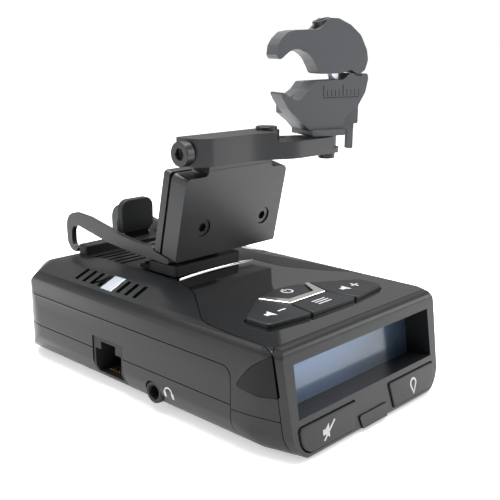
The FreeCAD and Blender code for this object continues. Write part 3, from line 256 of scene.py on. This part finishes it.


# ---- Smoked windows ------------------------------------------------------------------------------
# Two teardrop side windows and the rear lens are dark transparent polycarbonate, near black in
# daylight, polished, with a faint warm painted reflection laid into the colour in blotches.

smoke_skin = Finish("smoked_polycarbonate", IOR=1.5, Specular_IOR_Level=0.12)
painted_reflection_and_gloss_swirl = smoke_skin.noise(90, 2.0)
# painted reflection: faint warm blotches mixed into the near black colour; the same noise varies the roughness
smoke_skin.feed(Base_Color=smoke_skin.blend_colours(painted_reflection_and_gloss_swirl, (0.002, 0.002, 0.003, 1), (0.006, 0.004, 0.004, 1)),
                Roughness=0.03 + painted_reflection_and_gloss_swirl * 0.04)
for name in ("side_windows", "rear_lens"):
    dressed(name, smoke_skin, 0.12)


# ---- Bright trims --------------------------------------------------------------------------------
# The crescent behind the deck and the chevron round the power key are vacuum plated plastic, a
# warm bright chrome, very slightly wavy.  The plain badges in the vents are brushed foil.

bright_skin = Finish("plated_trim", Metallic=1.0)
wave = bright_skin.noise(240, 2.0)
bright_skin.feed(Base_Color=bright_skin.blend_colours(wave, (0.93, 0.90, 0.86, 1), (0.80, 0.78, 0.75, 1)),
                 Roughness=0.10 + wave * 0.08)
bright_skin.bump(wave, 0.06, 0.0002)
for name in ("arc_trim", "power_trim"):
    dressed(name, bright_skin, 0.3, 3)

badge_skin = Finish("brushed_badge", Metallic=1.0)
stretched = badge_skin.node("ShaderNodeMapping", {}, badge_skin.place, Scale=(30.0, 2400.0, 30.0))
brushing = badge_skin.node("ShaderNodeTexNoise", {}, Vector=stretched, Scale=1.0, Detail=3.0)
badge_skin.feed(Base_Color=badge_skin.blend_colours(brushing, grey(0.45), grey(0.82)),
                Roughness=0.22 + brushing * 0.22)
dressed("vent_badges", badge_skin, 0.12)


# ---- Keys ----------------------------------------------------------------------------------------
# Deck keys and front keys are satin black caps with soft edges.  Pad printed symbols sit a hair
# proud of each: power ring, menu bars, loudspeaker with minus and plus, crossed loudspeaker, pin.

key_skin = moulded("key_satin", 0.008, 0.30, 0.10)
for name in ("power_button", "menu_button", "volume_up_button", "volume_down_button",
             "mute_button", "mark_button"):
    dressed(name, key_skin, 0.25)

ink = Finish("symbol_ink", Roughness=0.5)
print_wear = ink.noise(1500, 2.0)
ink.feed(Base_Color=ink.blend_colours(print_wear, (0.46, 0.46, 0.47, 1), (0.30, 0.30, 0.31, 1)),
         Roughness=0.45 + print_wear * 0.15)


REACH = 4 * MM
INK_DEPTH = 0.03 * MM


def symbol(name, strokes, centre, right, up, body, onto, lift=INK_DEPTH, paint=ink):
    """Printed strokes, each a closed outline in millimetres, laid down on the surface of a piece."""
    mesh = bmesh.new()
    out = right.cross(up)
    skin = frame["nodes"][onto]
    surface = BVHTree.FromPolygons([skin.matrix_world @ v.co for v in skin.data.vertices],
                                   [tuple(p.vertices) for p in skin.data.polygons])
    for outline in strokes:
        top = []
        for x, y in outline:
            start = centre + (right * x + up * y) * MM
            hit = surface.ray_cast(start + out * REACH, -out)[0] or start
            top.append(mesh.verts.new(hit + out * lift))
        mesh.faces.new(top)
    data = bpy.data.meshes.new(name)
    bmesh.ops.recalc_face_normals(mesh, faces=mesh.faces)
    mesh.to_mesh(data)
    mesh.free()
    data.materials.append(paint.material)
    piece = bpy.data.objects.new(name, data)
    scene.collection.objects.link(piece)
    thick = piece.modifiers.new("ink_depth", "SOLIDIFY")
    thick.thickness = INK_DEPTH
    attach(piece, body)
    return piece


def bigger(strokes, by):
    """The same strokes, scaled about their centre."""
    return [[(x * by, y * by) for x, y in outline] for outline in strokes]


def bar(x0, y0, x1, y1):
    """An upright oblong between two corners."""
    return [(x0, y0), (x1, y0), (x1, y1), (x0, y1)]


def arc_band(radius, width, start, end, steps=18, cx=0.0, cy=0.0):
    """A stroke of even width round part of a circle, from one angle to another."""
    turns = [radians(start + (end - start) * i / steps) for i in range(steps + 1)]
    outer = [(cx + radius * cos(a), cy + radius * sin(a)) for a in turns]
    inner = [(cx + (radius - width) * cos(a), cy + (radius - width) * sin(a)) for a in reversed(turns)]
    return outer + inner


def loudspeaker(x, y, size):
    """A box with a horn, the horn opening to the right."""
    return [(x - size, y - size * 0.35), (x - size * 0.45, y - size * 0.35), (x + size * 0.2, y - size * 0.9),
            (x + size * 0.2, y + size * 0.9), (x - size * 0.45, y + size * 0.35), (x - size, y + size * 0.35)]


def key_top(node):
    low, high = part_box(node)
    return Vector(((low.x + high.x) / 2, (low.y + high.y) / 2, high.z))


EAST = Vector((1, 0, 0))
NORTH = Vector((0, 1, 0))
LEAN = radians(8.5)
FACE_UP = Vector((0, sin(LEAN), cos(LEAN)))
at = key_top("power_button") + NORTH * (0.4 * MM)
symbol("power_symbol", bigger([arc_band(1.5, 0.42, -240, 60), bar(-0.21, 0.2, 0.21, 1.75)], 1.2),
       at, EAST, NORTH, "power_key", "power_button")
symbol("menu_symbol", [bar(-2.7, y - 0.22, 2.7, y + 0.22) for y in (-1.2, 0, 1.2)],
       key_top("menu_button"), EAST, NORTH, "menu_key", "menu_button")
for side, node, body in ((-1, "volume_down_button", "volume_down_key"), (1, "volume_up_button", "volume_up_key")):
    at = key_top(node) + Vector((-side * 0.5, -2.0, 0)) * MM
    strokes = [loudspeaker(-1.2, 0, 1.5), bar(0.7, -0.22, 2.7, 0.22)]
    if side > 0:
        strokes += [bar(1.48, 0.3, 1.92, 1.0), bar(1.48, -1.0, 1.92, -0.3)]
    symbol(node + "_symbol", bigger(strokes, 1.4), at, EAST, NORTH, body, node)


def face_point(node):
    low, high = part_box(node)
    height = (low.z + high.z) / 2
    return Vector(((low.x + high.x) / 2, low.y + (height - low.z) * sin(LEAN) / cos(LEAN), height))


struck = [(-2.1, -1.4), (-1.75, -1.6), (1.6, 1.4), (1.25, 1.6)]
symbol("mute_symbol", bigger([loudspeaker(-0.6, 0, 1.5), struck], 1.35),
       face_point("mute_button"), EAST, FACE_UP, "mute_key", "mute_button")
pin_sides = [[(k * 1.1, 0.15), (k * 0.65, 0.3), (0, -1.2), (0, -1.9)] for k in (-1, 1)]
symbol("mark_symbol", bigger([arc_band(1.15, 0.45, -20, 200, 16, 0, 0.5)] + pin_sides, 1.35),
       face_point("mark_button"), EAST, FACE_UP, "mark_key", "mark_button")


# ---- Sockets -------------------------------------------------------------------------------------
# Modular socket, audio socket with its proud rim, and release key are black glass filled nylon.
# Six gold plated springs lie in the modular socket.  A headphone symbol marks the audio socket.

nylon_skin = moulded("socket_nylon", 0.007, 0.45, 0.2)
for name, size in (("modular_jack", 0.15), ("audio_jack", 0.3), ("release_button", 0.25)):
    dressed(name, nylon_skin, size)

low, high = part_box("audio_jack")
hub = Vector((low.x, (low.y + high.y) / 2, (low.z + high.z) / 2))
SOUTH = Vector((0, -1, 0))
UP = Vector((0, 0, 1))


def lathed(name, profile, start, axis, finish, body, steps=48):
    """A turned ring: (radius, height) pairs in millimetres carried round an axis."""
    side = axis.orthogonal().normalized()
    other = axis.cross(side)
    mesh = bmesh.new()
    rings = []
    for radius, height in profile:
        rings.append([])
        for turn in (tau * i / steps for i in range(steps)):
            spoke = side * cos(turn) + other * sin(turn)
            rings[-1].append(mesh.verts.new(start + (axis * height + spoke * radius) * MM))
    for first, second in zip(rings, rings[1:] + rings[:1]):
        for i in range(steps):
            j = (i + 1) % steps
            mesh.faces.new((first[i], first[j], second[j], second[i])).smooth = True
    bmesh.ops.recalc_face_normals(mesh, faces=mesh.faces)
    data = bpy.data.meshes.new(name)
    mesh.to_mesh(data)
    mesh.free()
    data.materials.append(finish.material)
    piece = bpy.data.objects.new(name, data)
    scene.collection.objects.link(piece)
    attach(piece, body)
    return piece


rim = [(1.95, 0.9), (2.0, -0.25), (2.2, -0.45), (2.9, -0.45), (3.15, -0.25), (3.25, 0.9)]
lathed("audio_rim", rim, hub, EAST, nylon_skin, "detector")
cups = [bar(x - 0.4, -1.3, x + 0.4, 0.2) for x in (-1.35, 1.35)]
symbol("headphone_symbol", bigger([arc_band(1.5, 0.38, -5, 185, 20, 0, 0.1)] + cups, 1.1),
       hub + Vector((0.05, -6.4, 1.7)) * MM, SOUTH, UP, "detector", "lower_case", lift=0.05 * MM)

gold_skin = Finish("contact_gold", Metallic=1.0)
wipe_mark = gold_skin.noise(1800, 2.0)
gold_skin.feed(Base_Color=gold_skin.blend_colours(wipe_mark, (0.90, 0.66, 0.28, 1), (0.70, 0.50, 0.22, 1)),
               Roughness=0.2 + wipe_mark * 0.2)
dressed("jack_contacts", gold_skin, 0.05)


# ---- Under the case ------------------------------------------------------------------------------
# A blank film plate and four zinc plated screws.

film_skin = moulded("plate_film", 0.30, 0.45, 0.05)
dressed("rating_plate", film_skin, 0.0)
zinc_skin = Finish("zinc_plate", Metallic=1.0)
bloom = zinc_skin.noise(700, 3.0)
zinc_skin.feed(Base_Color=zinc_skin.blend_colours(bloom, grey(0.50), grey(0.72)), Roughness=0.25 + bloom * 0.2)
dressed("case_screws", zinc_skin, 0.2)


# ---- Electronics ---------------------------------------------------------------------------------
# Boards, switches, horn, antenna patch and loudspeaker fill the case.  They show only through the
# slots and the sockets.

board_skin = moulded("board_mask", 0.03, 0.4, 0.05)
board_skin.feed(Base_Color=(0.01, 0.09, 0.04, 1.0))
for name in ("main_board", "switch_board"):
    dressed(name, board_skin, 0.0)
tin_skin = Finish("tin_plate", Metallic=1.0)
tin_grain = tin_skin.noise(500, 2.0)
tin_skin.feed(Base_Color=tin_skin.blend_colours(tin_grain, grey(0.5, 0.97), grey(0.65, 0.97)),
              Roughness=0.3 + tin_grain * 0.2)
dressed("tact_switches", tin_skin, 0.1)
dressed("horn_antenna", tin_skin, 0.2)
clay_skin = moulded("patch_ceramic", 0.3, 0.6, 0.2)
dressed("gps_patch", clay_skin, 0.1)
dressed("speaker", nylon_skin, 0.2)


# ---- Spring bracket ------------------------------------------------------------------------------
# Shoe moulded in nylon, sprung steel rails and tongue in black oxide, and a dipped rubber cap on
# the finger tab.

dressed("bracket_shoe", nylon_skin, 0.2)


def worked(name, shade, rough, scratch, sheen):
    """Black oxide or anodised metal: fine random scratches, lighter where it is rubbed."""
    finish = Finish(name, IOR=1.5, Specular_IOR_Level=0.4)
    fine = finish.noise(1400, 3.0)
    run = finish.node("ShaderNodeMapping", {}, finish.place,
                      Rotation=(0.3, 0.5, 0.8), Scale=(1500.0, 90.0, 140.0))
    hair = finish.node("ShaderNodeTexNoise", {}, Vector=run, Scale=1.0, Detail=3.0) > scratch
    rub = finish.noise(55, 4.0)
    finish.feed(Base_Color=finish.blend_colours(hair * 0.5 + rub * 0.5, grey(shade), grey(shade * sheen)),
                Roughness=rough + fine * 0.10 + hair * 0.08)
    return finish.bump(fine + hair * 0.5, 0.12, 0.00005)


oxide_skin = worked("black_oxide", 0.007, 0.30, 0.72, 2.4)
dressed("spring_bracket", oxide_skin, 0.2)
rubber_skin = moulded("dipped_rubber", 0.010, 0.50, 0.35)
dressed("tab_cap", rubber_skin, 0.3, 3)


# ---- Clamp plates, arm and jaws --------------------------------------------------------------------
# Milled aluminium, tumbled and anodised satin black, the jaws blasted to a paler grey.  Handling
# leaves hair scratches, and a row of plain gauge marks is cut in the lower jaw.

anodised_skin = worked("anodised_satin", 0.009, 0.32, 0.72, 2.2)
for name, size in (("front_plate", 0.45), ("back_plate", 0.35), ("arm", 0.5)):
    dressed(name, anodised_skin, size, 3)
blasted_skin = worked("anodised_blasted", 0.045, 0.42, 0.80, 1.25)
for name, size in (("lower_jaw", 0.4), ("upper_jaw", 0.55)):
    dressed(name, blasted_skin, size, 3)


engraving = Finish("engraved_dark", Roughness=0.6)
engraving.feed(Base_Color=engraving.blend_colours(engraving.noise(1500, 2.0), grey(0.004), grey(0.012)))
joints = {joint["name"]: joint for joint in frame["joints"]}
swivel = Vector(joints["jaw_swivel"]["pos_m"])
swivel.z = 0
JAW_YAW = radians(-19.0)
JAW_IN, JAW_AFT, JAW_FRONT = 2.1, 2.8, 6.2
jaw_along = Vector((cos(JAW_YAW), sin(JAW_YAW), 0))
jaw_back = Vector((-sin(JAW_YAW), cos(JAW_YAW), 0))
jaw_middle = swivel + (jaw_back * JAW_AFT - jaw_along * JAW_IN) * MM
PITCH, HAIR = 1.4, 0.16
ticks = [bar(PITCH * i - HAIR, 0, PITCH * i + HAIR, 3.4 if i % 5 == 0 else 2.0) for i in range(10)]
ticks.append(bar(-HAIR, -0.5, PITCH * 9 + HAIR, -0.2))
symbol("jaw_gauge", ticks, jaw_middle + (UP * 80.3 - jaw_back * JAW_FRONT - jaw_along * 1.6) * MM,
       jaw_along, UP, "jaw_body", "lower_jaw", paint=engraving)


# ---- Screws --------------------------------------------------------------------------------------
# Socket head screws in black oxide.  The clamp screw through both jaws shows a bright zinc plated
# thread in the gap between them.

bolt_skin = worked("bolt_oxide", 0.006, 0.28, 0.72, 2.6)
for name in ("set_screws", "tilt_screw", "cap_screw", "swivel_screw", "clamp_screw"):
    dressed(name, bolt_skin, 0.25)
clamp_axis = Vector(joints["jaw_clamp"]["axis"])
clamp_at = jaw_middle + (jaw_along * 1.8 - jaw_back * 3.0 + UP * 93.0) * MM
ROOT, CREST, TURN, TURNS, FOOT = 1.50, 1.82, 0.6, 16, -9.4
thread = [(1.45, FOOT - 0.1)]
for i in range(TURNS):
    thread += [(ROOT, FOOT + TURN * i), (CREST, FOOT + TURN * (i + 0.5))]
lathed("clamp_thread", thread + [(1.45, 0.2)], clamp_at, clamp_axis, zinc_skin,
       frame["nodes"]["clamp_screw"]["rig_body"])


# ---- Table, light and camera -----------------------------------------------------------------------
# A seamless white sweep, a large soft box overhead, a tall one at the left and a fill at the right.

PAPER = 6
PAPER_DROP = 0.3 * MM
sweep = bmesh.new()
for x, y in ((-PAPER, -PAPER), (PAPER, -PAPER), (PAPER, PAPER), (-PAPER, PAPER)):
    sweep.verts.new((x, y, -PAPER_DROP))
sweep.faces.new(sweep.verts)
sweep_mesh = bpy.data.meshes.new("studio_floor")
sweep.to_mesh(sweep_mesh)
sweep.free()
floor = bpy.data.objects.new("studio_floor", sweep_mesh)
scene.collection.objects.link(floor)
paper = Finish("floor_paper", Roughness=0.35, Emission_Color=(1, 1, 1, 1), Emission_Strength=0.42)
paper.feed(Base_Color=paper.blend_colours(paper.noise(8, 2.0), (0.86, 0.86, 0.87, 1), (0.90, 0.90, 0.91, 1)))
floor.data.materials.append(paper.material)


AIM = Vector((0, 0, 0.03))


def soft_box(name, place, size, power):
    """A rectangular lamp that faces the middle of the detector."""
    light = bpy.data.lights.new(name, "AREA")
    light.shape = "RECTANGLE"
    light.size, light.size_y = size
    light.energy = power
    lamp = bpy.data.objects.new(name, light)
    lamp.location = place
    lamp.rotation_euler = (AIM - Vector(place)).to_track_quat("-Z", "Y").to_euler()
    scene.collection.objects.link(lamp)


soft_box("overhead", (0.05, 0.05, 0.60), (0.55, 0.55), 9)
soft_box("left_wall", (-0.62, 0.22, 0.30), (0.35, 0.3), 2.0)
soft_box("right_wall", (0.50, -0.40, 0.22), (0.3, 0.3), 1.6)
world = bpy.data.worlds.new("studio")
world.use_nodes = True
sky = world.node_tree
backdrop = sky.nodes["Background"]
backdrop.inputs["Color"].default_value = (1, 1, 1, 1)
backdrop.inputs["Strength"].default_value = 1.0
dome = sky.nodes.new("ShaderNodeBackground")
height = sky.nodes.new("ShaderNodeSeparateXYZ")
facing = sky.nodes.new("ShaderNodeTexCoord")
rise = sky.nodes.new("ShaderNodeMapRange")
for span, value in (("From Min", -0.05), ("From Max", 0.9), ("To Min", 0.16), ("To Max", 1.3)):
    rise.inputs[span].default_value = value
seen = sky.nodes.new("ShaderNodeLightPath")
mixed = sky.nodes.new("ShaderNodeMixShader")
sky.links.new(facing.outputs["Generated"], height.inputs[0])
sky.links.new(height.outputs["Z"], rise.inputs["Value"])
sky.links.new(rise.outputs[0], dome.inputs["Strength"])
sky.links.new(seen.outputs["Is Camera Ray"], mixed.inputs[0])
sky.links.new(dome.outputs[0], mixed.inputs[1])
sky.links.new(backdrop.outputs[0], mixed.inputs[2])
sky.links.new(mixed.outputs[0], sky.nodes["World Output"].inputs["Surface"])
scene.world = world
scene.view_settings.view_transform = "Standard"

lens = bpy.data.cameras.new("camera")
lens.lens = 59.36
lens.sensor_width = 36
camera = bpy.data.objects.new("camera", lens)
LOOK_DOWN, ROLL, TURNED = 14.35, -0.19, -46.53
camera.location = Vector((-165.0, -168.9, 97.0)) * MM
camera.rotation_euler = (radians(90 - LOOK_DOWN), radians(ROLL), radians(TURNED))
scene.collection.objects.link(camera)
scene.camera = camera
